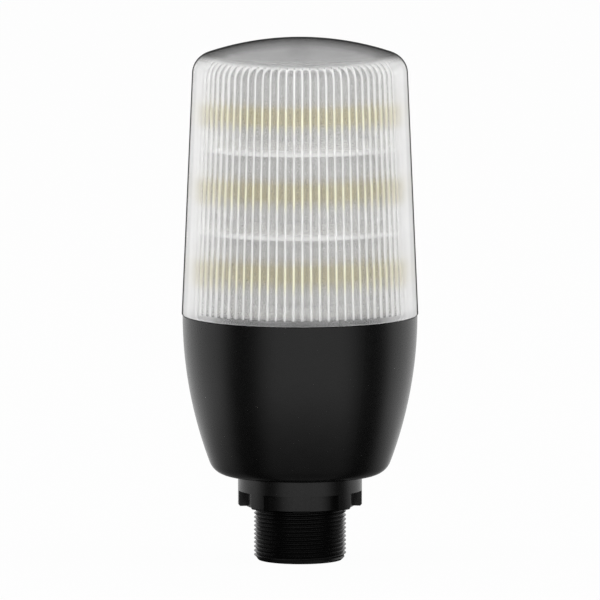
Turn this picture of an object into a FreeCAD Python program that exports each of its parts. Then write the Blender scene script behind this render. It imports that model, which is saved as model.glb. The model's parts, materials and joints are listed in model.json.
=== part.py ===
import FreeCAD, Part
import math
import os
import re
import Sketcher

# Three-tier stack light on a hollow M22 stub. Millimetres, +Z up, front towards -Y.
# The origin is on the axis, in the plane of the housing's underside, which seats on the panel.

# Driving dimensions
SIZES = {
    # Housing and its threaded stub
    "seam_height": 38.4,
    "housing_rim": 28.0,
    "seat_width": 3.0,
    "corner_radius": 4.7,
    "housing_wall": 2.0,
    "floor_thickness": 3.5,
    "stub_radius": 11.0,
    "stub_length": 20.5,
    "stub_chamfer": 1.0,
    "bore_radius": 8.0,
    "bore_chamfer": 0.5,
    "cut_margin": 1.0,

    # Lens: side taper, shoulder, dome and internal ribs
    "lens_overhang": 0.2,
    "lens_draft": 2.5,
    "lens_wall": 2.0,
    "shoulder_radius": 5.06,
    "dome_radius": 69.5,
    "dome_gap": 1.5,
    "rib_count": 80,
    "rib_width": 0.5,
    "rib_height": 0.5,
    "rib_stop": 1.45,
    "ledge_thickness": 0.9,

    # Bayonet between the lens skirt and the housing's collar
    "skirt_wall": 1.5,
    "skirt_clearance": 0.3,
    "collar_width": 1.3,
    "collar_thickness": 1.9,
    "lug_count": 3,
    "lug_overlap": 1.0,
    "lug_thickness": 1.4,
    "lug_gap": 0.1,
    "lug_angle": 20,
    "notch_angle": 26,
    "unlock_angle": 30,
    "stop_angle": 3,
    "stop_slack": 0.5,
    "notch_place": 75,
    "seal_thickness": 1.4,
    "seal_clearance": 0.1,

    # Panel gasket and locknut
    "gasket_width": 2.7,
    "gasket_thickness": 1.6,
    "gasket_proud": 0.25,
    "gasket_clearance": 0.2,
    "gasket_bore_gap": 0.3,
    "nut_wall": 3.74,
    "nut_height": 7.25,
    "nut_band": 3.5,
    "nut_waist_wall": 1.84,
    "nut_clearance": 0.06,
    "nut_edge": 0.35,
    "nut_bore_chamfer": 0.6,
    "land_count": 8,
    "land_angle": 16,

    # LED column
    "column_step": 0.4,
    "tier_pitch": 19.8,
    "tier_count": 3,
    "tray_gap": 0.6,
    "tray_rim": 0.8,
    "tray_rise": 2.0,
    "deck_gap": 0.5,
    "deck_thickness": 2.8,
    "facet_count": 12,
    "core_apothem": 12.6,
    "core_wall": 2.6,
    "board_gap": 0.1,
    "led_board_thickness": 0.8,
    "led_board_margin": 0.3,
    "led_size": 5.0,
    "led_thickness": 1.4,
    "led_window": 4.0,
    "led_window_depth": 0.4,
    "phosphor_gap": 0.05,
    "phosphor_thickness": 0.3,
    "led_rise_lower": 10.6,
    "led_rise_middle": 10.3,
    "led_rise_upper": 8.5,
    "spigot_wall": 1.2,
    "spigot_height": 1.2,
    "spigot_gap": 0.1,
    "cap_radius": 17.5,
    "cap_thickness": 1.2,
    "cap_edge": 0.4,

    # Boards, in the column and in the housing
    "pcb_thickness": 1.6,
    "board_height": 14.0,
    "board_radius": 17.8,
    "wire_hole": 4.2,
    "wire_hole_shift": 1.6,
    "riser_width": 8.0,
    "riser_thickness": 1.2,
    "riser_place": 4.2,
    "riser_gap": 0.2,
    "riser_top_gap": 1.5,

    # Posts and screws
    "boss_count": 3,
    "boss_pitch": 15.2,
    "boss_radius": 2.6,
    "boss_place": 90,
    "post_inset": 4.4,
    "post_radius": 2.6,
    "post_place": 30,
    "post_gap": 0.8,
    "board_screw_radius": 1.0,
    "board_screw_length": 8.0,
    "post_screw_radius": 1.25,
    "post_screw_length": 9.0,
    "screw_clearance": 0.05,
    "head_ratio": 1.9,
    "slot_ratio": 0.5,
    "counterbore_gap": 0.25,
    "counterbore_floor": 1.8,
    "tie_radius": 1.5,
    "tie_clearance": 0.1,
    "tie_nut_width": 5.5,
    "tie_nut_height": 2.4,
    "tie_head_height": 1.5,
    "tie_head_edge": 0.7,
    "tie_socket": 0.75,
    "tie_socket_depth": 1.1,

    # Terminal block and the plug-in link between the boards
    "way_count": 4,
    "way_pitch": 3.5,
    "block_depth": 7.0,
    "block_height": 8.5,
    "block_place": 3.0,
    "wire_port": 2.4,
    "wire_port_rise": 3.0,
    "wire_port_depth": 3.5,
    "well_radius": 1.4,
    "well_depth": 1.8,
    "terminal_screw_radius": 1.25,
    "terminal_screw_height": 1.3,
    "terminal_slot_width": 0.5,
    "terminal_slot_depth": 0.6,
    "pin_count": 5,
    "pin_pitch": 2.54,
    "pin_side": 0.64,
    "pin_gap": 0.05,
    "link_place": 8.0,
    "link_depth": 2.5,
    "socket_height": 8.5,
    "spacer_height": 2.5,

    # Parts on the driver board, one of each for a tier
    "channel_count": 3,
    "channel_pitch": 5.6,
    "rectifier_length": 4.7,
    "rectifier_width": 4.0,
    "rectifier_height": 2.4,
    "rectifier_place": 8.5,
    "resistor_length": 3.2,
    "resistor_width": 1.6,
    "resistor_height": 0.6,
    "resistor_place": 5.5,
    "regulator_side": 3.9,
    "regulator_height": 1.5,
    "regulator_place": 2.6,
    "capacitor_radius": 2.5,
    "capacitor_length": 5.4,
    "capacitor_pitch": 8.6,
    "capacitor_place": -3.2,
}

doc = FreeCAD.newDocument("StackLight")
sheet = doc.addObject("Spreadsheet::Sheet", "Sizes")
for place, (name, value) in enumerate(SIZES.items(), start=1):
    sheet.set(f"A{place}", name)
    sheet.set(f"B{place}", str(value))
    sheet.setAlias(f"B{place}", name)
doc.recompute()


def formula(text):
    """Points every size named in a formula at the sheet."""
    return re.sub(r"[a-z]+(?:_[a-z]+)+", lambda word: "Sizes." + word.group(0), text)


def number(text):
    """Present value of a formula of named sizes."""
    return float(sheet.evalExpression(text))


def count(name):
    """A size that counts copies."""
    return int(round(number(name)))


# Sketches and features

def new_body(label):
    body = doc.addObject("PartDesign::Body", label)
    body.Label = label
    return body


def origin_feature(body, role):
    return next(item for item in body.Origin.OriginFeatures if item.Role == role)


def new_sketch(body, name, plane, offset="0"):
    """Sketch on one of the body's own origin planes, moved along the plane's normal."""
    sketch = body.newObject("Sketcher::SketchObject", name)
    sketch.AttachmentSupport = [(origin_feature(body, plane), "")]
    sketch.MapMode = "FlatFace"
    sketch.AttachmentOffset = FreeCAD.Placement(
        FreeCAD.Vector(0, 0, number(offset)), FreeCAD.Rotation())
    if offset != "0":
        sketch.setExpression("AttachmentOffset.Base.z", formula(offset))
    return sketch


def hold(sketch, kind, places, text):
    """Constraint whose value is bound to a formula."""
    index = sketch.addConstraint(Sketcher.Constraint(kind, *places, number(text)))
    label = f"{kind.lower()}_{index}"
    sketch.renameConstraint(index, label)
    sketch.setExpression(f"Constraints.{label}", formula(text))


def arc_between(start, end, radius, side):
    """Arc from start to end; side 1 has its centre on the left, -1 on the right."""
    chord = end - start
    reach = math.sqrt(radius ** 2 - (chord.Length / 2) ** 2)
    left = FreeCAD.Vector(-chord.y, chord.x, 0).normalize()
    centre = (start + end) / 2 + left * (reach * side)
    first, last = (start, end) if side > 0 else (end, start)
    angles = [math.atan2(point.y - centre.y, point.x - centre.x) for point in (first, last)]
    circle = Part.Circle(centre, FreeCAD.Vector(0, 0, 1), radius)
    return Part.ArcOfCircle(circle, angles[0], angles[1])


def outline(sketch, corners):
    """Closed outline through corners of (x, y) formulas. A corner with a radius formula and a side
    starts an arc to the next corner instead of a line."""
    points = [FreeCAD.Vector(number(corner[0]), number(corner[1]), 0) for corner in corners]
    edges = []
    for index, corner in enumerate(corners):
        start, end = points[index], points[(index + 1) % len(points)]
        if len(corner) == 2:
            edge = sketch.addGeometry(Part.LineSegment(start, end))
            edges.append((edge, 1, 2))
        else:
            arc = arc_between(start, end, number(corner[2]), corner[3])
            edge = sketch.addGeometry(arc)
            edges.append((edge, 1, 2) if corner[3] > 0 else (edge, 2, 1))
    for index, (edge, first, last) in enumerate(edges):
        following = edges[(index + 1) % len(edges)]
        sketch.addConstraint(
            Sketcher.Constraint("Coincident", edge, last, following[0], following[1]))
        corner = corners[index]
        hold(sketch, "DistanceX", (-1, 1, edge, first), corner[0])
        hold(sketch, "DistanceY", (-1, 1, edge, first), corner[1])
        if len(corner) > 2:
            hold(sketch, "Radius", (edge,), corner[2])


def circle(sketch, across, up, radius):
    centre = FreeCAD.Vector(number(across), number(up), 0)
    ring = Part.Circle(centre, FreeCAD.Vector(0, 0, 1), number(radius))
    edge = sketch.addGeometry(ring)
    hold(sketch, "DistanceX", (-1, 1, edge, 3), across)
    hold(sketch, "DistanceY", (-1, 1, edge, 3), up)
    hold(sketch, "Radius", (edge,), radius)


def rectangle(sketch, across, up, width, height):
    """Rectangle about a centre given by formulas."""
    left, right = f"{across} - ({width}) / 2", f"{across} + ({width}) / 2"
    low, high = f"{up} - ({height}) / 2", f"{up} + ({height}) / 2"
    outline(sketch, [(left, low), (right, low), (right, high), (left, high)])


def polygon(sketch, sides, apothem):
    """Regular polygon with a flat side facing each axis, for a side count divisible by four."""
    corners = []
    for index in range(count(sides)):
        turn = f"({index} + 0.5) * 360 deg / {sides}"
        reach = f"({apothem}) / cos(180 deg / {sides})"
        corners.append((f"{reach} * cos({turn})", f"{reach} * sin({turn})"))
    outline(sketch, corners)


def hexagon(sketch, apothem):
    corners = []
    for index in range(6):
        reach = f"({apothem}) / cos(30 deg)"
        corners.append((f"{reach} * cos({60 * index} deg)", f"{reach} * sin({60 * index} deg)"))
    outline(sketch, corners)


def sector(sketch, inner, outer, middle, angle):
    """Part of a ring between two radii, about a middle direction in degrees."""
    first, last = f"(({middle}) - ({angle}) / 2)", f"(({middle}) + ({angle}) / 2)"

    def place(radius, turn):
        return f"({radius}) * cos({turn} * 1 deg)", f"({radius}) * sin({turn} * 1 deg)"

    outline(sketch, [
        place(inner, first),
        (*place(outer, first), outer, 1),
        place(outer, last),
        (*place(inner, last), inner, -1),
    ])


def finish(body, feature):
    body.Tip = feature
    doc.recompute()
    return feature


def spin(body, sketch, cut=False):
    """Turns a sketch about its vertical axis: adds material, or takes it away."""
    kind = "Groove" if cut else "Revolution"
    feature = body.newObject(f"PartDesign::{kind}", f"{sketch.Name}_{kind.lower()}")
    feature.Profile = sketch
    feature.ReferenceAxis = (sketch, ["V_Axis"])
    feature.Angle = 360
    return finish(body, feature)


def pad(body, sketch, length, both_ways=False):
    feature = body.newObject("PartDesign::Pad", f"{sketch.Name}_pad")
    feature.Profile = sketch
    feature.Length = number(length)
    feature.setExpression("Length", formula(length))
    if both_ways:
        feature.SideType = "Symmetric"
    return finish(body, feature)


def pocket(body, sketch, depth):
    """Cuts a sketch away against its plane's normal."""
    feature = body.newObject("PartDesign::Pocket", f"{sketch.Name}_pocket")
    feature.Profile = sketch
    feature.Length = number(depth)
    feature.setExpression("Length", formula(depth))
    return finish(body, feature)


def polar(body, features, copies):
    """Repeats features evenly round the body's Z axis."""
    pattern = body.newObject("PartDesign::PolarPattern", f"{features[0].Name}_ring")
    pattern.Originals = features
    pattern.Axis = (origin_feature(body, "Z_Axis"), [""])
    pattern.Angle = 360
    pattern.Occurrences = count(copies)
    pattern.setExpression("Occurrences", formula(copies))
    return finish(body, pattern)


def row(body, features, pitch, copies):
    """Repeats features along the body's X axis."""
    pattern = body.newObject("PartDesign::LinearPattern", f"{features[0].Name}_row")
    pattern.Originals = features
    pattern.Direction = (origin_feature(body, "X_Axis"), [""])
    pattern.Length = number(f"{pitch} * ({copies} - 1)")
    pattern.setExpression("Length", formula(f"{pitch} * ({copies} - 1)"))
    pattern.Occurrences = count(copies)
    pattern.setExpression("Occurrences", formula(copies))
    return finish(body, pattern)


def revolved(label, name, corners):
    """Body made by turning one outline about Z."""
    body = new_body(label)
    sketch = new_sketch(body, name, "XZ_Plane")
    outline(sketch, corners)
    spin(body, sketch)
    return body


def groove(body, name, corners):
    sketch = new_sketch(body, name, "XZ_Plane")
    outline(sketch, corners)
    return spin(body, sketch, cut=True)


# Places worked out from the sizes

# Gasket recess, and the flat seat round it
RECESS_RADIUS = "(stub_radius + gasket_bore_gap + gasket_width + gasket_clearance)"
SEAT_RADIUS = f"({RECESS_RADIUS} + seat_width)"

# Housing flank: the arc that stands upright at the rim and runs into the rounded bottom corner
FLANK_REACH = f"(housing_rim - {SEAT_RADIUS})"
FLANK_RADIUS = (
    f"(({FLANK_REACH}^2 + (seam_height - corner_radius)^2 - corner_radius^2)"
    f" / (2 * ({FLANK_REACH} - corner_radius)))"
)
FLANK_CENTRE = f"(housing_rim - {FLANK_RADIUS})"
CORNER_CENTRE = SEAT_RADIUS
CORNER_SHARE = f"({FLANK_RADIUS} / ({FLANK_RADIUS} - corner_radius))"
CORNER_SIDE = f"({FLANK_CENTRE} + ({CORNER_CENTRE} - {FLANK_CENTRE}) * {CORNER_SHARE})"
CORNER_TOP = f"(seam_height + (corner_radius - seam_height) * {CORNER_SHARE})"

# Housing cavity, one wall thickness inside
CAVITY_RADIUS = f"({FLANK_RADIUS} - housing_wall)"
CAVITY_RIM = "(housing_rim - housing_wall)"


def cavity_reach(height):
    """Inner radius of the housing's wall at a height."""
    return f"({FLANK_CENTRE} + sqrt({CAVITY_RADIUS}^2 - (seam_height - ({height}))^2))"


# Bayonet
COLLAR_INNER = f"({CAVITY_RIM} - collar_width)"
SKIRT_OUTER = f"({COLLAR_INNER} - skirt_clearance)"
SKIRT_INNER = f"({SKIRT_OUTER} - skirt_wall)"
LUG_OUTER = f"({COLLAR_INNER} + lug_overlap)"
COLLAR_TOP = "(seam_height - seal_thickness - 2 * seal_clearance)"
COLLAR_BOTTOM = f"({COLLAR_TOP} - collar_thickness)"
LUG_TOP = f"({COLLAR_BOTTOM} - lug_gap)"
SKIRT_BOTTOM = f"({LUG_TOP} - lug_thickness)"
LOCKED_PLACE = "(notch_place - unlock_angle)"
LEDGE_TOP = "(seam_height + ledge_thickness)"

# The cavity's wall is two straight drafts that meet at its waist
CAVITY_WAIST = f"((floor_thickness + {COLLAR_BOTTOM}) / 2)"

# LED column
COLUMN_FLOOR = "(seam_height + column_step)"
BOARD_INNER = "(core_apothem + board_gap)"
BOARD_OUTER = f"({BOARD_INNER} + led_board_thickness)"
BOARD_CORNER = f"({BOARD_OUTER} / cos(180 deg / facet_count))"
TRAY_INNER = f"({BOARD_CORNER} + board_gap)"
DECK_BOTTOM = f"({COLUMN_FLOOR} - deck_thickness)"
COLUMN_TOP = f"({COLUMN_FLOOR} + tier_count * tier_pitch)"
CORE_BORE = "(core_apothem - core_wall)"
SPIGOT_OUTER = f"({CORE_BORE} - spigot_gap)"
SPIGOT_INNER = f"({SPIGOT_OUTER} - spigot_wall)"
TIE_HOLE = "(tie_radius + tie_clearance)"
CAP_TOP = f"({COLUMN_TOP} + cap_thickness)"
BOARD_TOP = "(board_height + pcb_thickness)"
DRIVER_BOTTOM = f"({DECK_BOTTOM} - pcb_thickness)"
DECK_RADIUS = f"({SKIRT_INNER} - deck_gap)"
POST_PITCH = f"({DECK_RADIUS} - post_inset)"
TIE_TOP = f"({CAP_TOP} + tie_head_height)"

# Lens shoulder: an arc between the tapered side and the dome
DRAFT = "lens_draft * 1 deg"
LENS_RIM = "(housing_rim + lens_overhang)"
DOME_APEX = f"({TIE_TOP} + dome_gap + lens_wall)"
DOME_CENTRE = f"({DOME_APEX} - dome_radius)"
SIDE_X = f"({LENS_RIM} - shoulder_radius * cos({DRAFT}))"
SIDE_Y = f"(seam_height - shoulder_radius * sin({DRAFT}) - {DOME_CENTRE})"
ALONG = f"({SIDE_Y} * cos({DRAFT}) - {SIDE_X} * sin({DRAFT}))"
REACH = f"({SIDE_X}^2 + {SIDE_Y}^2 - (dome_radius - shoulder_radius)^2)"
CLIMB = f"(sqrt({ALONG}^2 - {REACH}) - {ALONG})"
SHOULDER_X = f"({SIDE_X} - {CLIMB} * sin({DRAFT}))"
SHOULDER_Y = f"({DOME_CENTRE} + {SIDE_Y} + {CLIMB} * cos({DRAFT}))"
DOME_SHARE = "(1 / (dome_radius - shoulder_radius))"
RIB_TOP = f"({SHOULDER_X} + rib_stop)"



def tier_floor(tier):
    return f"({COLUMN_FLOOR} + {tier} * tier_pitch)"


def side_point(offset, height):
    """Point on the lens's side, or on a line inside it by an offset, at a height."""
    start = f"({LENS_RIM} - ({offset}) / cos({DRAFT}))"
    return f"({start} - (({height}) - seam_height) * tan({DRAFT}))", f"({height})"


def shoulder_start(offset):
    """Where the side, moved in by an offset, meets the shoulder arc."""
    rest = f"(shoulder_radius - ({offset}))"
    return (
        f"({SHOULDER_X} + {rest} * cos({DRAFT}))",
        f"({SHOULDER_Y} + {rest} * sin({DRAFT}))",
    )


def shoulder_end(offset):
    """Where the shoulder arc, moved in by an offset, meets the dome."""
    rest = f"(shoulder_radius - ({offset}))"
    return (
        f"({SHOULDER_X} + {SHOULDER_X} * {DOME_SHARE} * {rest})",
        f"({SHOULDER_Y} + ({SHOULDER_Y} - {DOME_CENTRE}) * {DOME_SHARE} * {rest})",
    )


def shoulder_height_at(offset, radius):
    """Height of the moved shoulder arc at a radius."""
    rest = f"(shoulder_radius - ({offset}))"
    return f"({SHOULDER_Y} + sqrt({rest}^2 - ({radius} - {SHOULDER_X})^2))"


# Housing: body, underside and hollow stub in one moulding

def make_housing():
    body = revolved("housing", "housing_form", [
        ("0", "-stub_length"),
        ("stub_radius - stub_chamfer", "-stub_length"),
        ("stub_radius", "-stub_length + stub_chamfer"),
        ("stub_radius", "0"),
        (CORNER_CENTRE, "0", "corner_radius", 1),
        (CORNER_SIDE, CORNER_TOP, FLANK_RADIUS, 1),
        ("housing_rim", "seam_height"),
        ("0", "seam_height"),
    ])
    groove(body, "cavity", [
        ("0", "floor_thickness"),
        (cavity_reach("floor_thickness"), "floor_thickness"),
        (cavity_reach(CAVITY_WAIST), CAVITY_WAIST),
        (cavity_reach(COLLAR_BOTTOM), COLLAR_BOTTOM),
        (COLLAR_INNER, COLLAR_BOTTOM),
        (COLLAR_INNER, COLLAR_TOP),
        (CAVITY_RIM, COLLAR_TOP),
        (CAVITY_RIM, "seam_height"),
        ("0", "seam_height"),
    ])
    groove(body, "stub_bore", [
        ("0", "-stub_length"),
        ("bore_radius + bore_chamfer", "-stub_length"),
        ("bore_radius", "-stub_length + bore_chamfer"),
        ("bore_radius", "floor_thickness"),
        ("0", "floor_thickness"),
    ])
    groove(body, "gasket_recess", [
        ("stub_radius", "0"),
        (RECESS_RADIUS, "0"),
        (RECESS_RADIUS, "gasket_thickness - gasket_proud"),
        ("stub_radius", "gasket_thickness - gasket_proud"),
    ])

    notch = new_sketch(body, "lug_notch", "XY_Plane", COLLAR_TOP)
    sector(notch, f"{COLLAR_INNER} - cut_margin", CAVITY_RIM, "notch_place", "notch_angle")
    polar(body, [pocket(body, notch, "collar_thickness")], "lug_count")

    stops = []
    for name, place in (
        ("lock_stop", f"{LOCKED_PLACE} - (lug_angle + stop_angle) / 2 - stop_slack"),
        ("entry_stop", "notch_place + (lug_angle + stop_angle) / 2 + stop_slack"),
    ):
        stop = new_sketch(body, name, "XY_Plane", f"{COLLAR_BOTTOM} - lug_thickness")
        sector(stop, COLLAR_INNER, "housing_rim - housing_wall / 2", place, "stop_angle")
        stops.append(pad(body, stop, "lug_thickness + collar_thickness / 2"))
    polar(body, stops, "lug_count")

    for name, pitch, place, radius, top, hole, depth in (
        ("board_boss", "boss_pitch", "boss_place", "boss_radius", "board_height",
         "board_screw_radius", "board_screw_length"),
        ("column_post", POST_PITCH, "post_place", "post_radius", DRIVER_BOTTOM,
         "post_screw_radius", "post_screw_length"),
    ):
        across = f"{pitch} * cos({place} * 1 deg)"
        along = f"{pitch} * sin({place} * 1 deg)"
        foot = new_sketch(body, name, "XY_Plane", "floor_thickness / 2")
        circle(foot, across, along, radius)
        post = pad(body, foot, f"{top} - floor_thickness / 2")
        mouth = new_sketch(body, f"{name}_hole", "XY_Plane", top)
        circle(mouth, across, along, f"{hole} + screw_clearance")
        drilled = pocket(body, mouth, depth)
        polar(body, [post, drilled], "boss_count")
    return body


# Lens: tapered shell with a domed top, ribs inside, and a skirt with bayonet lugs

def make_lens():
    body = revolved("lens", "lens_form", [
        ("0", SKIRT_BOTTOM),
        (SKIRT_OUTER, SKIRT_BOTTOM),
        (SKIRT_OUTER, "seam_height"),
        (LENS_RIM, "seam_height"),
        (*shoulder_start("0"), "shoulder_radius", 1),
        (*shoulder_end("0"), "dome_radius", 1),
        ("0", DOME_APEX),
    ])
    groove(body, "lens_cavity", [
        ("0", SKIRT_BOTTOM),
        (SKIRT_INNER, SKIRT_BOTTOM),
        (SKIRT_INNER, LEDGE_TOP),
        side_point("lens_wall", LEDGE_TOP),
        (*shoulder_start("lens_wall"), "shoulder_radius - lens_wall", 1),
        (*shoulder_end("lens_wall"), "dome_radius - lens_wall", 1),
        ("0", f"{DOME_APEX} - lens_wall"),
    ])

    root, crest = "lens_wall / 2", "(lens_wall + rib_height)"
    rib = new_sketch(body, "rib", "XZ_Plane")
    outline(rib, [
        side_point(crest, f"{LEDGE_TOP} - ledge_thickness / 2"),
        (*shoulder_start(crest), f"shoulder_radius - {crest}", 1),
        (RIB_TOP, shoulder_height_at(crest, RIB_TOP)),
        (RIB_TOP, shoulder_height_at(root, RIB_TOP),
         f"shoulder_radius - {root}", -1),
        shoulder_start(root),
        side_point(root, f"{LEDGE_TOP} - ledge_thickness / 2"),
    ])
    polar(body, [pad(body, rib, "rib_width", both_ways=True)], "rib_count")

    lug = new_sketch(body, "lug", "XY_Plane", SKIRT_BOTTOM)
    sector(lug, f"{SKIRT_OUTER} - skirt_wall / 2", LUG_OUTER, LOCKED_PLACE, "lug_angle")
    polar(body, [pad(body, lug, "lug_thickness")], "lug_count")
    return body


def make_lens_seal():
    inner, outer = f"({SKIRT_OUTER} + seal_clearance)", f"({CAVITY_RIM} - seal_clearance)"
    bottom = f"({COLLAR_TOP} + seal_clearance)"
    return revolved("lens_seal", "seal_form", [
        (inner, bottom),
        (outer, bottom),
        (outer, f"{bottom} + seal_thickness"),
        (inner, f"{bottom} + seal_thickness"),
    ])


# Panel gasket and locknut

def make_panel_gasket():
    inner = "stub_radius + gasket_bore_gap"
    return revolved("panel_gasket", "gasket_form", [
        (inner, "-gasket_proud"),
        (f"{inner} + gasket_width", "-gasket_proud"),
        (f"{inner} + gasket_width", "gasket_thickness - gasket_proud"),
        (inner, "gasket_thickness - gasket_proud"),
    ])


def make_locknut():
    bore = "stub_radius + nut_clearance"
    outer = f"({bore} + nut_wall)"
    top, bottom = "-gasket_proud", "(-gasket_proud - nut_height)"
    body = revolved("locknut", "nut_form", [
        (f"{bore} + nut_bore_chamfer", bottom),
        (f"{outer} - nut_edge", bottom),
        (outer, f"{bottom} + nut_edge"),
        (outer, top),
        (f"{bore} + nut_bore_chamfer", top),
        (bore, f"{top} - nut_bore_chamfer"),
        (bore, f"{bottom} + nut_bore_chamfer"),
    ])
    gap = new_sketch(body, "nut_gap", "XY_Plane", f"{top} - nut_band")
    sector(gap, f"{bore} + nut_waist_wall", f"{outer} + cut_margin",
           "180 / land_count - 90", "360 / land_count - land_angle")
    polar(body, [pocket(body, gap, "nut_height - nut_band")], "land_count")
    return body


# LED column: white trays and core tubes

def add_core(body, name, bottom, top):
    """Polygonal tube that carries a tier's LED board."""
    section = new_sketch(body, name, "XY_Plane", bottom)
    polygon(section, "facet_count", "core_apothem")
    circle(section, "0", "0", CORE_BORE)
    pad(body, section, f"{top} - {bottom}")


def tray_corners(bottom, thickness, radius, inner_corners):
    """Tray whose top rises from its rim to the LED board."""
    top = f"({bottom} + {thickness})"
    return inner_corners + [
        (radius, bottom),
        (radius, top),
        (TRAY_INNER, f"{top} + tray_rise"),
        (TRAY_INNER, top),
        (TIE_HOLE, top),
    ]


def spigot(bottom):
    """Underside of a disc with a ring that enters the core below."""
    return [
        (TIE_HOLE, bottom),
        (SPIGOT_INNER, bottom),
        (SPIGOT_INNER, f"{bottom} - spigot_height"),
        (SPIGOT_OUTER, f"{bottom} - spigot_height"),
        (SPIGOT_OUTER, bottom),
    ]


def add_riser_slot(body, name, top, depth):
    slot = new_sketch(body, name, "XY_Plane", top)
    rectangle(slot, "0", "riser_place", "riser_width + 2 * riser_gap",
              "riser_thickness + 2 * riser_gap")
    pocket(body, slot, depth)


def make_column_base():
    floor = tier_floor(0)
    body = revolved("column_base", "deck_form", tray_corners(
        DECK_BOTTOM, "(deck_thickness + tray_rim)", DECK_RADIUS, [(TIE_HOLE, DECK_BOTTOM)]))
    add_core(body, "base_core", f"({floor} + tray_rim / 2)", tier_floor(1))
    add_riser_slot(body, "base_slot", f"{floor} + tray_rim", "deck_thickness + tray_rim")

    nut_seat = new_sketch(body, "nut_seat", "XY_Plane", f"{DECK_BOTTOM} + tie_nut_height")
    hexagon(nut_seat, "tie_nut_width / 2 + tie_clearance")
    pocket(body, nut_seat, "tie_nut_height")

    across = f"{POST_PITCH} * cos(post_place * 1 deg)"
    along = f"{POST_PITCH} * sin(post_place * 1 deg)"
    seat = new_sketch(body, "screw_seat", "XY_Plane", f"{floor} + tray_rim + tray_rise")
    circle(seat, across, along, "post_screw_radius * head_ratio + counterbore_gap")
    sunk = pocket(body, seat, "tray_rim + tray_rise + deck_thickness - counterbore_floor")
    shaft = new_sketch(body, "screw_hole", "XY_Plane", f"{DECK_BOTTOM} + counterbore_floor")
    circle(shaft, across, along, "post_screw_radius + screw_clearance")
    polar(body, [sunk, pocket(body, shaft, "counterbore_floor")], "boss_count")
    return body


def make_reflector(label, tier):
    bottom = tier_floor(tier)
    radius = f"{side_point('lens_wall + rib_height', tier_floor(2))[0]} - tray_gap"
    body = revolved(label, f"{label}_form", tray_corners(
        bottom, "tray_rim", radius, spigot(bottom)))
    add_core(body, f"{label}_core", f"({bottom} + tray_rim / 2)", tier_floor(tier + 1))
    add_riser_slot(body, f"{label}_slot", f"{bottom} + tray_rim", "tray_rim")
    return body


def make_column_cap():
    return revolved("column_cap", "cap_form", spigot(COLUMN_TOP) + [
        ("cap_radius", COLUMN_TOP),
        ("cap_radius", f"{CAP_TOP} - cap_edge"),
        ("cap_radius - cap_edge", CAP_TOP),
        (TIE_HOLE, CAP_TOP),
    ])


# LED rings

def make_led_board(label, tier):
    body = new_body(label)
    bottom = f"({tier_floor(tier)} + tray_rim)"
    section = new_sketch(body, f"{label}_section", "XY_Plane", bottom)
    polygon(section, "facet_count", BOARD_OUTER)
    polygon(section, "facet_count", BOARD_INNER)
    pad(body, section, "tier_pitch - tray_rim - led_board_margin")
    return body


def make_leds(label, tier, rise):
    body = new_body(label)
    height = f"{tier_floor(tier)} + {rise}"
    face = new_sketch(body, f"{label}_face", "XZ_Plane", BOARD_OUTER)
    rectangle(face, "0", height, "led_size", "led_size")
    package = pad(body, face, "led_thickness")
    window = new_sketch(body, f"{label}_window", "XZ_Plane", f"{BOARD_OUTER} + led_thickness")
    rectangle(window, "0", height, "led_window", "led_window")
    polar(body, [package, pocket(body, window, "led_window_depth")], "facet_count")
    return body


def make_phosphors(label, tier, rise):
    body = new_body(label)
    side = "led_window - 2 * phosphor_gap"
    face = new_sketch(body, f"{label}_face", "XZ_Plane",
                      f"{BOARD_OUTER} + led_thickness - led_window_depth")
    rectangle(face, "0", f"{tier_floor(tier)} + {rise}", side, side)
    polar(body, [pad(body, face, "phosphor_thickness")], "facet_count")
    return body


# Boards

def make_riser_board():
    body = new_body("riser_board")
    foot = new_sketch(body, "riser_section", "XY_Plane", DECK_BOTTOM)
    rectangle(foot, "0", "riser_place", "riser_width", "riser_thickness")
    pad(body, foot, f"{COLUMN_TOP} - {DECK_BOTTOM} - spigot_height - riser_top_gap")
    return body


def make_driver_board():
    body = new_body("driver_board")
    disc = new_sketch(body, "driver_disc", "XY_Plane", DRIVER_BOTTOM)
    circle(disc, "0", "0", f"{POST_PITCH} + post_radius")
    pad(body, disc, "pcb_thickness")
    hole = new_sketch(body, "driver_hole", "XY_Plane", DECK_BOTTOM)
    circle(hole, f"{POST_PITCH} * cos(post_place * 1 deg)",
           f"{POST_PITCH} * sin(post_place * 1 deg)", "post_screw_radius + screw_clearance")
    polar(body, [pocket(body, hole, "pcb_thickness")], "boss_count")
    return body


def make_terminal_board():
    body = new_body("terminal_board")
    disc = new_sketch(body, "terminal_disc", "XY_Plane", "board_height")
    circle(disc, "0", "0", "board_radius")
    circle(disc, "0", "-wire_hole_shift", "wire_hole")
    pad(body, disc, "pcb_thickness")
    cuts = []
    for name, pitch, place, radius in (
        ("boss_hole", "boss_pitch", "boss_place", "board_screw_radius + screw_clearance"),
        ("post_notch", POST_PITCH, "post_place", "post_radius + post_gap"),
    ):
        cut = new_sketch(body, name, "XY_Plane", BOARD_TOP)
        circle(cut, f"{pitch} * cos({place} * 1 deg)", f"{pitch} * sin({place} * 1 deg)", radius)
        cuts.append(pocket(body, cut, "pcb_thickness"))
    polar(body, cuts, "boss_count")
    return body


# Screws

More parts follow.
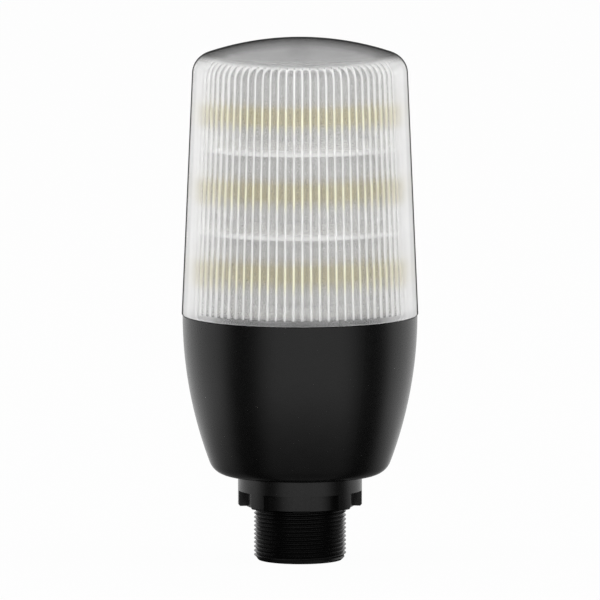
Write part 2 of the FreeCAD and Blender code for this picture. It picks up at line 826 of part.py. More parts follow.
def make_screws(label, radius, length, pitch, place, seat):
    """Three pan-head screws in a ring, each with a slot; seat is where the heads bear."""
    body = new_body(label)
    head = f"({radius} * head_ratio)"
    across, along = f"{pitch} * cos({place} * 1 deg)", f"{pitch} * sin({place} * 1 deg)"
    shank = new_sketch(body, f"{label}_shank", "XY_Plane", f"{seat} - {length}")
    circle(shank, across, along, radius)
    shank_pad = pad(body, shank, length)
    disc = new_sketch(body, f"{label}_head", "XY_Plane", seat)
    circle(disc, across, along, head)
    disc_pad = pad(body, disc, radius)
    slot_depth = f"({radius} * slot_ratio)"
    slot = new_sketch(body, f"{label}_slot", "XY_Plane", f"{seat} + {radius}")
    rectangle(slot, across, along, f"2 * {head} + cut_margin", slot_depth)
    polar(body, [shank_pad, disc_pad, pocket(body, slot, slot_depth)], "boss_count")
    return body


def make_tie_screw():
    head = "(tie_radius * head_ratio)"
    return revolved("tie_screw", "tie_form", [
        ("0", f"{DECK_BOTTOM} + tie_clearance"),
        ("tie_radius", f"{DECK_BOTTOM} + tie_clearance"),
        ("tie_radius", CAP_TOP),
        (head, CAP_TOP),
        (head, f"{TIE_TOP} - tie_head_edge"),
        (f"{head} - tie_head_edge", TIE_TOP),
        ("tie_socket", TIE_TOP),
        ("tie_socket", f"{TIE_TOP} - tie_socket_depth"),
        ("0", f"{TIE_TOP} - tie_socket_depth"),
    ])


def make_tie_nut():
    body = new_body("tie_nut")
    section = new_sketch(body, "tie_nut_section", "XY_Plane", DECK_BOTTOM)
    hexagon(section, "tie_nut_width / 2")
    circle(section, "0", "0", "tie_radius + screw_clearance")
    pad(body, section, "tie_nut_height")
    return body


# Terminal block

def make_terminal_block():
    body = new_body("terminal_block")
    base = new_sketch(body, "block_base", "XY_Plane", BOARD_TOP)
    middle = "(block_place + block_depth / 2)"
    rectangle(base, "0", middle, "way_pitch * way_count", "block_depth")
    pad(body, base, "block_height")
    first = "-way_pitch * (way_count - 1) / 2"
    port = new_sketch(body, "wire_port_face", "XZ_Plane", "-block_place")
    rectangle(port, first, f"{BOARD_TOP} + wire_port_rise", "wire_port", "wire_port")
    port_cut = pocket(body, port, "wire_port_depth")
    well = new_sketch(body, "screw_well", "XY_Plane", f"{BOARD_TOP} + block_height")
    circle(well, first, middle, "well_radius")
    well_cut = pocket(body, well, "well_depth")
    row(body, [port_cut, well_cut], "way_pitch", "way_count")
    return body


def make_terminal_screws():
    body = new_body("terminal_screws")
    middle = "(block_place + block_depth / 2)"
    first = "-way_pitch * (way_count - 1) / 2"
    bottom = f"({BOARD_TOP} + block_height - well_depth)"
    disc = new_sketch(body, "terminal_screw_head", "XY_Plane", bottom)
    circle(disc, first, middle, "terminal_screw_radius")
    head = pad(body, disc, "terminal_screw_height")
    slot = new_sketch(body, "terminal_screw_slot", "XY_Plane",
                      f"{bottom} + terminal_screw_height")
    rectangle(slot, first, middle, "2 * terminal_screw_radius + cut_margin",
              "terminal_slot_width")
    row(body, [head, pocket(body, slot, "terminal_slot_depth")], "way_pitch", "way_count")
    return body


# Plug-in link between the boards

def make_link_strip(label, bottom, height):
    """Insulating strip with a square hole for each pin."""
    body = new_body(label)
    base = new_sketch(body, f"{label}_base", "XY_Plane", bottom)
    rectangle(base, "0", "-link_place", "pin_pitch * pin_count", "link_depth")
    pad(body, base, height)
    hole = new_sketch(body, f"{label}_hole", "XY_Plane", f"{bottom} + {height}")
    rectangle(hole, "-pin_pitch * (pin_count - 1) / 2", "-link_place",
              "pin_side + 2 * pin_gap", "pin_side + 2 * pin_gap")
    row(body, [pocket(body, hole, height)], "pin_pitch", "pin_count")
    return body


def make_header_pins():
    body = new_body("header_pins")
    tip = f"({BOARD_TOP} + pin_side)"
    section = new_sketch(body, "pin_section", "XY_Plane", tip)
    rectangle(section, "-pin_pitch * (pin_count - 1) / 2", "-link_place",
              "pin_side", "pin_side")
    row(body, [pad(body, section, f"{DRIVER_BOTTOM} - {tip}")], "pin_pitch", "pin_count")
    return body


# Parts on the underside of the driver board, in rows along X

def make_chips(label, width, depth, height, place):
    body = new_body(label)
    base = new_sketch(body, f"{label}_base", "XY_Plane", f"{DRIVER_BOTTOM} - {height}")
    rectangle(base, "-channel_pitch * (channel_count - 1) / 2", place, width, depth)
    row(body, [pad(body, base, height)], "channel_pitch", "channel_count")
    return body


def make_capacitors():
    body = new_body("smoothing_capacitors")
    base = new_sketch(body, "capacitor_base", "XY_Plane", f"{DRIVER_BOTTOM} - capacitor_length")
    circle(base, "-capacitor_pitch * (channel_count - 1) / 2", "capacitor_place",
           "capacitor_radius")
    row(body, [pad(body, base, "capacitor_length")], "capacitor_pitch", "channel_count")
    return body


parts = [
    make_housing(),
    make_lens(),
    make_lens_seal(),
    make_panel_gasket(),
    make_locknut(),
    make_column_base(),
    make_reflector("reflector_middle", 1),
    make_reflector("reflector_upper", 2),
    make_column_cap(),
    make_led_board("led_board_lower", 0),
    make_led_board("led_board_middle", 1),
    make_led_board("led_board_upper", 2),
    make_leds("leds_lower", 0, "led_rise_lower"),
    make_leds("leds_middle", 1, "led_rise_middle"),
    make_leds("leds_upper", 2, "led_rise_upper"),
    make_phosphors("phosphor_lower", 0, "led_rise_lower"),
    make_phosphors("phosphor_middle", 1, "led_rise_middle"),
    make_phosphors("phosphor_upper", 2, "led_rise_upper"),
    make_riser_board(),
    make_driver_board(),
    make_terminal_board(),
    make_tie_screw(),
    make_tie_nut(),
    make_screws("column_screws", "post_screw_radius", "post_screw_length",
                POST_PITCH, "post_place", f"({DECK_BOTTOM} + counterbore_floor)"),
    make_screws("board_screws", "board_screw_radius", "board_screw_length",
                "boss_pitch", "boss_place", BOARD_TOP),
    make_terminal_block(),
    make_terminal_screws(),
    make_link_strip("socket_strip", BOARD_TOP, "socket_height"),
    make_link_strip("header_spacer", f"({DRIVER_BOTTOM} - spacer_height)", "spacer_height"),
    make_header_pins(),
    make_chips("bridge_rectifiers", "rectifier_length", "rectifier_width",
               "rectifier_height", "rectifier_place"),
    make_chips("limiting_resistors", "resistor_length", "resistor_width",
               "resistor_height", "resistor_place"),
    make_chips("current_regulators", "regulator_side", "regulator_side",
               "regulator_height", "regulator_place"),
    make_capacitors(),
]
doc.recompute()

for item in doc.Objects:
    faults = [state for state in item.State if state in ("Invalid", "Error")]
    if faults:
        raise RuntimeError(f"{item.Name}: {faults}")
for part in parts:
    if part.Shape.isNull() or not part.Shape.isValid():
        raise RuntimeError(f"{part.Label}: no valid shape")

os.makedirs("parts", exist_ok=True)
for part in parts:
    part.Shape.exportStep(f"parts/{part.Label}.step")
    print(part.Label, len(part.Shape.Solids), round(part.Shape.Volume, 1))
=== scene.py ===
import json
import math
import bmesh
import bpy
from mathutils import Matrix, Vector


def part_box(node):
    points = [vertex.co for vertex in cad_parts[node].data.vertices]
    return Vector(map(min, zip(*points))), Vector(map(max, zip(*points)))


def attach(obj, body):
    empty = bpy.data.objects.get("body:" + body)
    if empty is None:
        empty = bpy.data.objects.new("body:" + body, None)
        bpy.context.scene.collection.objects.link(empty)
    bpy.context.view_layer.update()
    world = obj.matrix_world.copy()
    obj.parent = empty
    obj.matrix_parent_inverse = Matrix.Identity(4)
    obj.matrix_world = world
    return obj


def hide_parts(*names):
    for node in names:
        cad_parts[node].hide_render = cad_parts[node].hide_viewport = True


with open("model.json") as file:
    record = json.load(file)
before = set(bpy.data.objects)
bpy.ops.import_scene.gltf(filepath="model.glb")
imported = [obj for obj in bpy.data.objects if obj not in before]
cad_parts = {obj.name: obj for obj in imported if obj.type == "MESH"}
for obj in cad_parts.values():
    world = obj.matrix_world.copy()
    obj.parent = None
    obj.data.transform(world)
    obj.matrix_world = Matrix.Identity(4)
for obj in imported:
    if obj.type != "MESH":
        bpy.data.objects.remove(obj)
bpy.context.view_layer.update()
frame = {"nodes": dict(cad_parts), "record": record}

# Compact three-tier stack light. Metres, +Z up, front towards -Y, origin on the panel's face.

MM = 0.001
FULL_TURN = 2 * math.pi


def from_x(degrees):
    """Angle from the front, for one that is measured from +X as in the part's source."""
    return math.radians(degrees + 90)


# Places taken from the frame

def low(node):
    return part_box(node)[0]


def high(node):
    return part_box(node)[1]


FLOOR = low("housing")[2]
SEAM = high("housing")[2]
HOUSING_RIM = high("housing")[0]
LENS_RIM = high("lens")[0]
APEX = high("lens")[2]
SKIRT_BOTTOM = low("lens")[2]
LED_ROWS = [
    (low(f"phosphor_{tier}")[2] + high(f"phosphor_{tier}")[2]) / 2
    for tier in ("lower", "middle", "upper")
]

# A tray's spigot reaches this far below its floor
SPIGOT = 1.2 * MM
TRAY_FLOORS = [low(node)[2] + SPIGOT for node in ("reflector_middle", "reflector_upper")]

# Lens sizes
DRAFT = math.radians(2.5)
LENS_WALL = 2.0 * MM
SHOULDER_RADIUS = 5.06 * MM
DOME_RADIUS = 69.5 * MM
DOME_CENTRE = APEX - DOME_RADIUS
LEDGE_TOP = SEAM + 0.9 * MM
SKIRT_OUTER = 24.4 * MM
SKIRT_INNER = 22.9 * MM
LUG_OUTER = 25.7 * MM
LUG_TOP = SKIRT_BOTTOM + 1.4 * MM
LUG_COUNT = 3
LUG_PLACE = from_x(45)
LUG_HALF = math.radians(10)
RIB_COUNT = 80
RIB_WIDTH = 0.5 * MM
RIB_HEIGHT = 0.5 * MM
RIB_STOP = 1.45 * MM
RIM_EDGE = 0.15 * MM
FLUTE_HOLLOW = 0.1 * MM

# Housing sizes
SEAT_RADIUS = 17.2 * MM
CORNER_RADIUS = 4.7 * MM
HOUSING_WALL = 2.0 * MM
HOUSING_FLOOR = 3.5 * MM
COLLAR_INNER = 24.7 * MM
COLLAR_BOTTOM = 34.9 * MM
COLLAR_TOP = 36.8 * MM
NOTCH_PLACE = from_x(75)
NOTCH_HALF = math.radians(13)
RECESS_RADIUS = 14.2 * MM
RECESS_DEPTH = 1.35 * MM
STUB_RADIUS = 11.0 * MM
BORE_RADIUS = 8.0 * MM
PITCH = 1.0 * MM
THREAD_DEPTH = 0.58 * MM
THREAD_CHAMFER = 1.0 * MM
BORE_CHAMFER = 0.5 * MM
HOUSING_EDGE = 0.2 * MM
STOP_PLACES = (from_x(33), from_x(87))
STOP_HALF = math.radians(1.5)
STOP_DROP = 1.4 * MM

# Posts inside the housing: bosses carry the terminal board and the others the driver board
POST_RADIUS = 2.6 * MM
BOSS_PITCH = 15.2 * MM
BOSS_PLACE = from_x(90)
BOSS_TOP = low("terminal_board")[2]
BOSS_HOLE = 1.05 * MM
BOSS_DEPTH = 8.0 * MM
POST_PITCH = 18.0 * MM
POST_PLACE = from_x(30)
POST_TOP = low("driver_board")[2]
POST_HOLE = 1.3 * MM
POST_DEPTH = 9.0 * MM

# How finely the meshes are divided
SIDE_RINGS = 6
SHOULDER_RINGS = 9
DOME_RINGS = 12
RIB_END_RINGS = 8
RIB_RINGS = 5
FLANK_RINGS = 24
CORNER_RINGS = 12
HOUSING_ANGLES = 180
POST_ANGLES = 32
MERGE_REACH = 0.002 * MM
EDGE_NUDGE = 0.0003
SMOOTH_ANGLE = 35.0
LENS_SMOOTH_ANGLE = 60.0


# Mesh helpers

def new_piece(name, bm, smooth_angle):
    """Mesh object from a bmesh, smooth but for edges sharper than an angle."""
    bmesh.ops.remove_doubles(bm, verts=bm.verts, dist=MERGE_REACH)
    bmesh.ops.recalc_face_normals(bm, faces=bm.faces)
    for face in bm.faces:
        face.smooth = True
    for edge in bm.edges:
        if len(edge.link_faces) == 2:
            edge.smooth = edge.calc_face_angle() < math.radians(smooth_angle)
    mesh = bpy.data.meshes.new(name)
    bm.to_mesh(mesh)
    bm.free()
    piece = bpy.data.objects.new(name, mesh)
    bpy.context.collection.objects.link(piece)
    return piece


def turned(bm, rings, angles, mark=None):
    """Surface through rings, each a function from an angle to (radius, height). It closes on
    itself in both directions once doubled points are merged."""
    grid = []
    for place, ring in enumerate(rings):
        verts = []
        for angle in angles:
            radius, height = ring(angle)
            verts.append(bm.verts.new((
                radius * math.sin(angle), -radius * math.cos(angle), height)))
            if mark:
                mark(verts[-1], place, angle)
        grid.append(verts)
    for lower, upper in zip(grid, grid[1:] + grid[:1]):
        for index in range(len(angles) - 1):
            bm.faces.new((lower[index], lower[index + 1], upper[index + 1], upper[index]))


def fixed(radius, height):
    return lambda angle: (radius, height)


def evenly(count):
    return [FULL_TURN * index / count for index in range(count + 1)]


def near(angle, place, half):
    """True within a half angle of a place that repeats at each bayonet lug."""
    repeat = FULL_TURN / LUG_COUNT
    return abs((angle - place + repeat / 2) % repeat - repeat / 2) < half


def with_edges(angles, place, half):
    """Adds two close angles at each edge of a repeated sector, so that its ends are crisp."""
    edges = [
        (place + FULL_TURN * index / LUG_COUNT + side * half + nudge) % FULL_TURN
        for index in range(LUG_COUNT)
        for side in (-1, 1)
        for nudge in (-EDGE_NUDGE, EDGE_NUDGE)
    ]
    return sorted(angles + edges)


def steps(start, end, count):
    return [start + (end - start) * index / count for index in range(count + 1)]


def arc(centre, radius, first, last, count):
    """Points (radius, height) along an arc in the section plane, angles in radians."""
    return [
        (centre[0] + radius * math.cos(turn), centre[1] + radius * math.sin(turn))
        for turn in steps(first, last, count)
    ]


# Lens section: the shoulder's arc touches the drafted side and the dome

def shoulder_centre():
    side_x = LENS_RIM - SHOULDER_RADIUS * math.cos(DRAFT)
    side_z = SEAM - SHOULDER_RADIUS * math.sin(DRAFT) - DOME_CENTRE
    along = side_z * math.cos(DRAFT) - side_x * math.sin(DRAFT)
    reach = side_x ** 2 + side_z ** 2 - (DOME_RADIUS - SHOULDER_RADIUS) ** 2
    climb = math.sqrt(along ** 2 - reach) - along
    return (side_x - climb * math.sin(DRAFT),
            DOME_CENTRE + side_z + climb * math.cos(DRAFT))


SHOULDER = shoulder_centre()
DOME_START = math.atan2(SHOULDER[1] - DOME_CENTRE, SHOULDER[0])


def section_point(place, offset):
    """Point of the lens section moved in by an offset. Place runs from 0 at the seam to 1 at the
    shoulder, 2 at the dome's edge and 3 at the apex."""
    if place <= 1:
        top = SHOULDER[1] + (SHOULDER_RADIUS - offset) * math.sin(DRAFT)
        height = SEAM + (top - SEAM) * place
        radius = LENS_RIM - offset / math.cos(DRAFT) - (height - SEAM) * math.tan(DRAFT)
        return radius, height
    if place <= 2:
        turn = DRAFT + (DOME_START - DRAFT) * (place - 1)
        rest = SHOULDER_RADIUS - offset
        return SHOULDER[0] + rest * math.cos(turn), SHOULDER[1] + rest * math.sin(turn)
    turn = DOME_START + (math.pi / 2 - DOME_START) * (place - 2)
    rest = DOME_RADIUS - offset
    return rest * math.cos(turn), DOME_CENTRE + rest * math.sin(turn)


RIB_PITCH = FULL_TURN / RIB_COUNT
RIB_HALF = RIB_WIDTH / 2 / (LENS_RIM - LENS_WALL)
RIB_FOOT = (0.9, 1.01)
RIB_FADE = 0.04
RIB_STATIONS = (0.0, 0.5, 0.85, 1.0)
FLUTE_STATIONS = (0.1, 0.22, 0.36, 0.5, 0.64, 0.78, 0.9)


def rib_angles():
    """Angles round the lens: close together over each rib, wider across each flute."""
    flute = RIB_PITCH - 2 * RIB_HALF
    angles = []
    for index in range(RIB_COUNT):
        middle = index * RIB_PITCH
        angles += [middle + RIB_HALF * station for station in RIB_STATIONS]
        angles += [middle + RIB_HALF + flute * share for share in FLUTE_STATIONS]
        angles += [middle + RIB_PITCH - RIB_HALF * station for station in RIB_STATIONS[:0:-1]]
    return angles + [FULL_TURN]


def rib_depth(angle):
    """How far the ribbed inner face stands in from the plain wall at an angle."""
    across = (angle + RIB_PITCH / 2) % RIB_PITCH - RIB_PITCH / 2
    if abs(across) < RIB_HALF:
        return RIB_HEIGHT * math.sqrt(1 - (across / RIB_HALF) ** 2) + FLUTE_HOLLOW / 2
    share = (abs(across) - RIB_HALF) / (RIB_PITCH / 2 - RIB_HALF)
    return FLUTE_HOLLOW * ((1 - share) ** 2 - 0.5)


def smooth_rings(offset, start, end, count):
    """Plain rings of the wall, moved in by an offset, between two places of the section."""
    return [fixed(*section_point(place, offset)) for place in steps(start, end, count)]


def ribbed_ring(place):
    return lambda angle: section_point(place, LENS_WALL + rib_depth(angle))


def ribbed_rings(start, end, count):
    return [ribbed_ring(place) for place in steps(start, end, count)]


def rib_share(angle):
    """1 over a rib, a half at its foot and 0 in the flute beside it."""
    across = abs((angle + RIB_PITCH / 2) % RIB_PITCH - RIB_PITCH / 2) / RIB_HALF
    if across > RIB_FOOT[1]:
        return 0.0
    return 1.0 if across < RIB_FOOT[0] else 0.5


def lug_reach(height):
    def ring(angle):
        return (LUG_OUTER if near(angle, LUG_PLACE, LUG_HALF) else SKIRT_OUTER), height
    return ring


def make_lens():
    """Lens with its ribs and bayonet skirt. Its points carry masks of the inside and the ribs."""
    outer = [
        fixed(SKIRT_INNER, SKIRT_BOTTOM),
        lug_reach(SKIRT_BOTTOM),
        lug_reach(LUG_TOP),
        fixed(SKIRT_OUTER, LUG_TOP),
        fixed(SKIRT_OUTER, SEAM),
        fixed(LENS_RIM - RIM_EDGE, SEAM),
        fixed(LENS_RIM, SEAM + RIM_EDGE),
    ]
    # Each run starts a step past the ring before it
    outer += smooth_rings(0, 0.01, 1, SIDE_RINGS)
    outer += smooth_rings(0, 1.1, 2, SHOULDER_RINGS)
    outer += smooth_rings(0, 2.08, 3, DOME_RINGS)
    rib_turn = math.acos(RIB_STOP / (SHOULDER_RADIUS - LENS_WALL))
    rib_end = 1 + (rib_turn - DRAFT) / (DOME_START - DRAFT)
    dome = smooth_rings(LENS_WALL, 3, 2, DOME_RINGS)
    dome.append(fixed(*section_point(rib_end + RIB_FADE, LENS_WALL)))
    ribs = ribbed_rings(rib_end, 1, RIB_END_RINGS)
    ribs += ribbed_rings(0.8, 0.02, RIB_RINGS)
    foot = [fixed(SKIRT_INNER, LEDGE_TOP)]
    first_rib = len(outer) + len(dome)
    bm = bmesh.new()
    inside = bm.verts.layers.float.new("inside")
    rib = bm.verts.layers.float.new("rib")

    def mark(vert, place, angle):
        vert[inside] = float(place >= len(outer))
        if first_rib <= place < first_rib + len(ribs):
            vert[rib] = rib_share(angle)

    angles = with_edges(rib_angles(), LUG_PLACE, LUG_HALF)
    turned(bm, outer + dome + ribs + foot, angles, mark)
    return new_piece("signal_lens", bm, LENS_SMOOTH_ANGLE)


# Housing with its threaded stub

# Share of a pitch, and of the thread's depth, at each ring of one turn
THREAD_STATIONS = ((0.0, 0.0), (0.04, 0.0), (0.48, 1.0), (0.52, 1.0), (0.96, 0.0))


def flank():
    """Centre and radius of the flank's arc, which stands upright at the seam."""
    reach = HOUSING_RIM - SEAT_RADIUS
    rise = SEAM - CORNER_RADIUS
    radius = (reach ** 2 + rise ** 2 - CORNER_RADIUS ** 2) / (2 * (reach - CORNER_RADIUS))
    return (HOUSING_RIM - radius, SEAM), radius


FLANK_CENTRE, FLANK_RADIUS = flank()
CORNER_TURN = math.atan2(CORNER_RADIUS - FLANK_CENTRE[1], SEAT_RADIUS - FLANK_CENTRE[0])


def wall_reach(height, offset):
    rest = FLANK_RADIUS - offset
    return FLANK_CENTRE[0] + math.sqrt(rest ** 2 - (SEAM - height) ** 2)


def thread_ring(turn_index, station, top, bottom):
    """Ring of a helix: it climbs one pitch in a turn and is held between top and bottom."""
    share, crest = station

    def ring(angle):
        height = top - (turn_index + share - angle / FULL_TURN) * PITCH
        radius = STUB_RADIUS - THREAD_DEPTH * (1 - crest)
        if height > top:
            return STUB_RADIUS - THREAD_DEPTH, top
        if height < bottom:
            return STUB_RADIUS - THREAD_CHAMFER, bottom
        return min(radius, STUB_RADIUS - THREAD_CHAMFER + (height - bottom)), height
    return ring


def thread_rings(top, bottom):
    """The whole thread, with spare turns past both ends that lie flat on them."""
    last = int((top - bottom) / PITCH) + 3
    return [
        thread_ring(turn_index, station, top, bottom)
        for turn_index in range(-1, last)
        for station in THREAD_STATIONS
    ]


def collar_edge(height, drop):
    """Inner edge of the collar: cut back at the notches, and lower at the stops under it."""
    def ring(angle):
        if any(near(angle, place, STOP_HALF) for place in STOP_PLACES):
            return COLLAR_INNER, height - drop
        if near(angle, NOTCH_PLACE, NOTCH_HALF):
            return HOUSING_RIM - HOUSING_WALL, height
        return COLLAR_INNER, height
    return ring


def collar_root(height, drop):
    """Where the collar's underside meets the wall."""
    def ring(angle):
        low_height = height - drop
        if any(near(angle, place, STOP_HALF) for place in STOP_PLACES):
            return wall_reach(low_height, HOUSING_WALL), low_height
        return wall_reach(height, HOUSING_WALL), height
    return ring


def post(bm, pitch, place, top, hole_radius, hole_depth):
    """Drilled post, sunk into the housing's floor."""
    profile = [
        (0.0, HOUSING_FLOOR / 2),
        (POST_RADIUS, HOUSING_FLOOR / 2),
        (POST_RADIUS, top),
        (hole_radius, top),
        (hole_radius, top - hole_depth),
        (0.0, top - hole_depth),
    ]
    first = len(bm.verts)
    turned(bm, [fixed(*point) for point in profile], evenly(POST_ANGLES))
    bm.verts.ensure_lookup_table()
    for vert in bm.verts[first:]:
        vert.co.x += pitch * math.sin(place)
        vert.co.y -= pitch * math.cos(place)


def make_housing():
    """Housing with its collar, threaded stub and posts."""
    waist = (HOUSING_FLOOR + COLLAR_BOTTOM) / 2
    rim = HOUSING_RIM - HOUSING_WALL
    rings = [
        fixed(BORE_RADIUS, HOUSING_FLOOR),
        fixed(wall_reach(HOUSING_FLOOR, HOUSING_WALL), HOUSING_FLOOR),
        fixed(wall_reach(waist, HOUSING_WALL), waist),
        collar_root(COLLAR_BOTTOM, STOP_DROP),
        collar_edge(COLLAR_BOTTOM, STOP_DROP),
        collar_edge(COLLAR_TOP, 0.0),
        fixed(rim, COLLAR_TOP),
        fixed(rim, SEAM),
        fixed(HOUSING_RIM - HOUSING_EDGE, SEAM),
    ]
    outline = arc(FLANK_CENTRE, FLANK_RADIUS, -HOUSING_EDGE / FLANK_RADIUS, CORNER_TURN,
                  FLANK_RINGS)
    corner = (SEAT_RADIUS, CORNER_RADIUS)
    outline += arc(corner, CORNER_RADIUS, CORNER_TURN, -math.pi / 2, CORNER_RINGS)[1:]
    outline += [
        (RECESS_RADIUS, 0.0),
        (RECESS_RADIUS, RECESS_DEPTH),
        (STUB_RADIUS - THREAD_DEPTH, RECESS_DEPTH),
    ]
    rings += [fixed(*point) for point in outline]
    rings += thread_rings(RECESS_DEPTH, FLOOR)
    rings += [
        fixed(BORE_RADIUS + BORE_CHAMFER, FLOOR),
        fixed(BORE_RADIUS, FLOOR + BORE_CHAMFER),
    ]
    angles = with_edges(evenly(HOUSING_ANGLES), NOTCH_PLACE, NOTCH_HALF)
    for place in STOP_PLACES:
        angles = with_edges(angles, place, STOP_HALF)
    bm = bmesh.new()
    turned(bm, rings, angles)
    for index in range(LUG_COUNT):
        turn = FULL_TURN * index / LUG_COUNT
        post(bm, BOSS_PITCH, BOSS_PLACE + turn, BOSS_TOP, BOSS_HOLE, BOSS_DEPTH)
        post(bm, POST_PITCH, POST_PLACE + turn, POST_TOP, POST_HOLE, POST_DEPTH)
    return new_piece("base_housing", bm, SMOOTH_ANGLE)


# Materials

def grey(value):
    return (value, value, value)


# Direction of the lit front, measured from -Y towards +X
LIT_FRONT = math.radians(8)

# Noise: the values that it mostly lies between, its detail, and the scale of mottled colour
NOISE_RANGE = (0.3, 0.7)
BROAD_DETAIL = 4.0
FINE_DETAIL = 2.0
MOTTLE = 300.0

# Dark and light colour, least and most roughness, scale and depth of the grain, metallic and
# specular level
FINISHES = {
    "housing_black": (grey(0.002), grey(0.003), (0.22, 0.3), 2600.0, 0.006 * MM, 0.0, 0.33),
    "nut_black": (grey(0.002), grey(0.004), (0.24, 0.32), 2200.0, 0.01 * MM, 0.0, 0.38),
    "seal_rubber": (grey(0.012), grey(0.02), (0.7, 0.85), 1800.0, 0.02 * MM, 0.0, 0.5),
    "reflector_white": (grey(0.92), grey(0.95), (0.4, 0.55), 1500.0, 0.008 * MM, 0.0, 0.5),
    "led_board_white": ((0.61, 0.61, 0.6), (0.66, 0.66, 0.65), (0.35, 0.5), 2500.0, 0.006 * MM,
                        0.0, 0.5),
    "led_package": ((0.64, 0.59, 0.45), (0.7, 0.65, 0.5), (0.4, 0.5), 2500.0, 0.006 * MM,
                    0.0, 0.5),
    "led_phosphor": ((0.57, 0.49, 0.21), (0.65, 0.57, 0.27), (0.25, 0.4), 4000.0, 0.01 * MM,
                     0.0, 0.5),
    "circuit_board": ((0.01, 0.09, 0.035), (0.02, 0.13, 0.05), (0.3, 0.45), 1500.0, 0.01 * MM,
                      0.0, 0.5),
    "screw_steel": (grey(0.5), grey(0.62), (0.25, 0.4), 1500.0, 0.006 * MM, 1.0, 0.5),
    "terminal_green": ((0.02, 0.16, 0.05), (0.03, 0.2, 0.07), (0.4, 0.5), 1500.0, 0.01 * MM,
                       0.0, 0.5),
    "component_black": (grey(0.012), grey(0.02), (0.5, 0.6), 2000.0, 0.01 * MM, 0.0, 0.5),
    "contact_brass": ((0.6, 0.45, 0.2), (0.7, 0.55, 0.28), (0.25, 0.35), 1500.0, 0.005 * MM,
                      1.0, 0.5),
    "capacitor_can": (grey(0.55), grey(0.62), (0.3, 0.4), 1500.0, 0.005 * MM, 1.0, 0.5),
}
# Colour of the painted LED glow on the LED board
BOARD_LED_GLOW = (0.58, 0.52, 0.37)

# Painted glow of the LEDs, a soft yellowish band beside each LED row: its reach, where it fades
# in shares of that, and a share past them all
GLOW_REACH = (3.1 * MM, 2.9 * MM, 2.55 * MM)
GLOW_FADE = (0.45, 1.55)
FAR_AWAY = 9.0

# Lens: plain colour of its painted light and highlight, a milk-white matte, and the yellowish
# colour of the painted LED glow on it
FLUTE_PAINTED_LIGHT = (grey(0.97), (0.74, 0.69, 0.57))
RIB_PAINTED_HIGHLIGHT = (grey(0.9), (0.96, 0.95, 0.78))
SIDE_PAINTED_LIGHT = (grey(0.98), (0.7, 0.66, 0.55))

# Lens: light let through, tilt and roughness
LENS_IOR = 1.45
LENS_CLEAR = 0.93
# Flutes let less through than the plain wall, and those of the far wall less still: painted shade
FLUTE_SHADED_CLEAR = 0.72
BACK_SHADED_CLEAR = 0.34
SHADOW_CLEAR = 0.9
FLUTE_SPREAD = 1.7
SPREAD_GRAIN = 1e5
FLUTE_FROST = 0.2
DOME_FROST = 0.22
WAVE_SCALE = 60.0
WAVE_ROUGHNESS = (0.015, 0.04)

# Lens: shares of painted light, a milk-white matte, and of painted shade
FLUTE_SHARE = 0.75
RIB_SHARE = 0.68
SIDE_SHARE = 0.62
STEP_SHARES = (0.45, 0.315)
STEP_TRAIL = 0.12
EDGE_SHADE = 0.97
WALL_SHADE = 0.12
DOME_SHADE = 0.44
FOOT_SHADE = 0.36
FOOT_SIDES = 0.1
SHADE_COLOUR = 0.02

# Lens: reach from the axis, or height, over which a look fades
FROST_REACH = (20.5 * MM, 22.5 * MM)
SHADE_REACH = (21.6 * MM, 25.0 * MM)
CROWN_REACH = (22.5 * MM, 26.0 * MM)
FOOT_HEIGHT = (SEAM, SEAM + 3.2 * MM)

# Lens: height above a tray's rim over which its painted glow fades, starts, and trails off
STEP_TOP = (0.2 * MM, 2.6 * MM)
STEP_EDGE = (-0.2 * MM, 0.1 * MM)
STEP_TAIL = (-7.0 * MM, -3.0 * MM)

# Lens: facing over which a look changes, 0 where the surface faces the eye and 1 at its outline
FLUTE_FACING = (0.12, 0.26)
STEP_FACING = (0.0, 0.2)
SIDE_FACING = (0.34, 0.68)
ROW_FACING = (0.4, 0.68)
WALL_FACING = (0.68, 0.73)
EDGE_FACING = (0.79, 0.9)
CROWN_FACING = (0.48, 0.96)
FOOT_FACING = (0.05, 0.5)


# Node helpers

def new_material(name):
    material = bpy.data.materials.new(name)
    material.use_nodes = True
    nodes = material.node_tree.nodes
    nodes.clear()
    return material, nodes, material.node_tree.links


def add(nodes, kind, **values):
    """New node, with each value set on the input of that name or else on the node itself."""
    node = nodes.new(kind)
    for key, value in values.items():
        if key in node.inputs:
            node.inputs[key].default_value = value
        else:
            setattr(node, key, value)
    return node


def feed(links, socket, value):
    """Puts another node's output, a colour, a vector or a number into a socket."""
    if isinstance(value, bpy.types.NodeSocket):
        links.new(value, socket)
    elif socket.type == "RGBA":
        socket.default_value = (*value, 1)
    else:
        socket.default_value = value


def math_node(nodes, links, operation, *values):
    node = add(nodes, "ShaderNodeMath", operation=operation)
    for socket, value in zip(node.inputs, values):
        feed(links, socket, value)
    return node.outputs[0]


def product(nodes, links, first, *others):
    for other in others:
        first = math_node(nodes, links, "MULTIPLY", first, other)
    return first


def most(nodes, links, first, *others):
    """The largest of several values."""
    for other in others:
        first = math_node(nodes, links, "MAXIMUM", first, other)
    return first


def rest_of(nodes, links, share):
    """What a share leaves of 1."""
    return math_node(nodes, links, "SUBTRACT", 1.0, share)


def vector_node(nodes, links, operation, *values, scale=None):
    node = add(nodes, "ShaderNodeVectorMath", operation=operation)
    for socket, value in zip(node.inputs, values):
        feed(links, socket, value)
    if scale is not None:
        feed(links, node.inputs["Scale"], scale)
    return node.outputs["Vector"]


def map_range(nodes, links, source, limits, interpolation):
    node = add(nodes, "ShaderNodeMapRange", interpolation_type=interpolation)
    for name, value in zip(("From Min", "From Max", "To Min", "To Max"), limits):
        node.inputs[name].default_value = value
    links.new(source, node.inputs["Value"])
    return node.outputs["Result"]


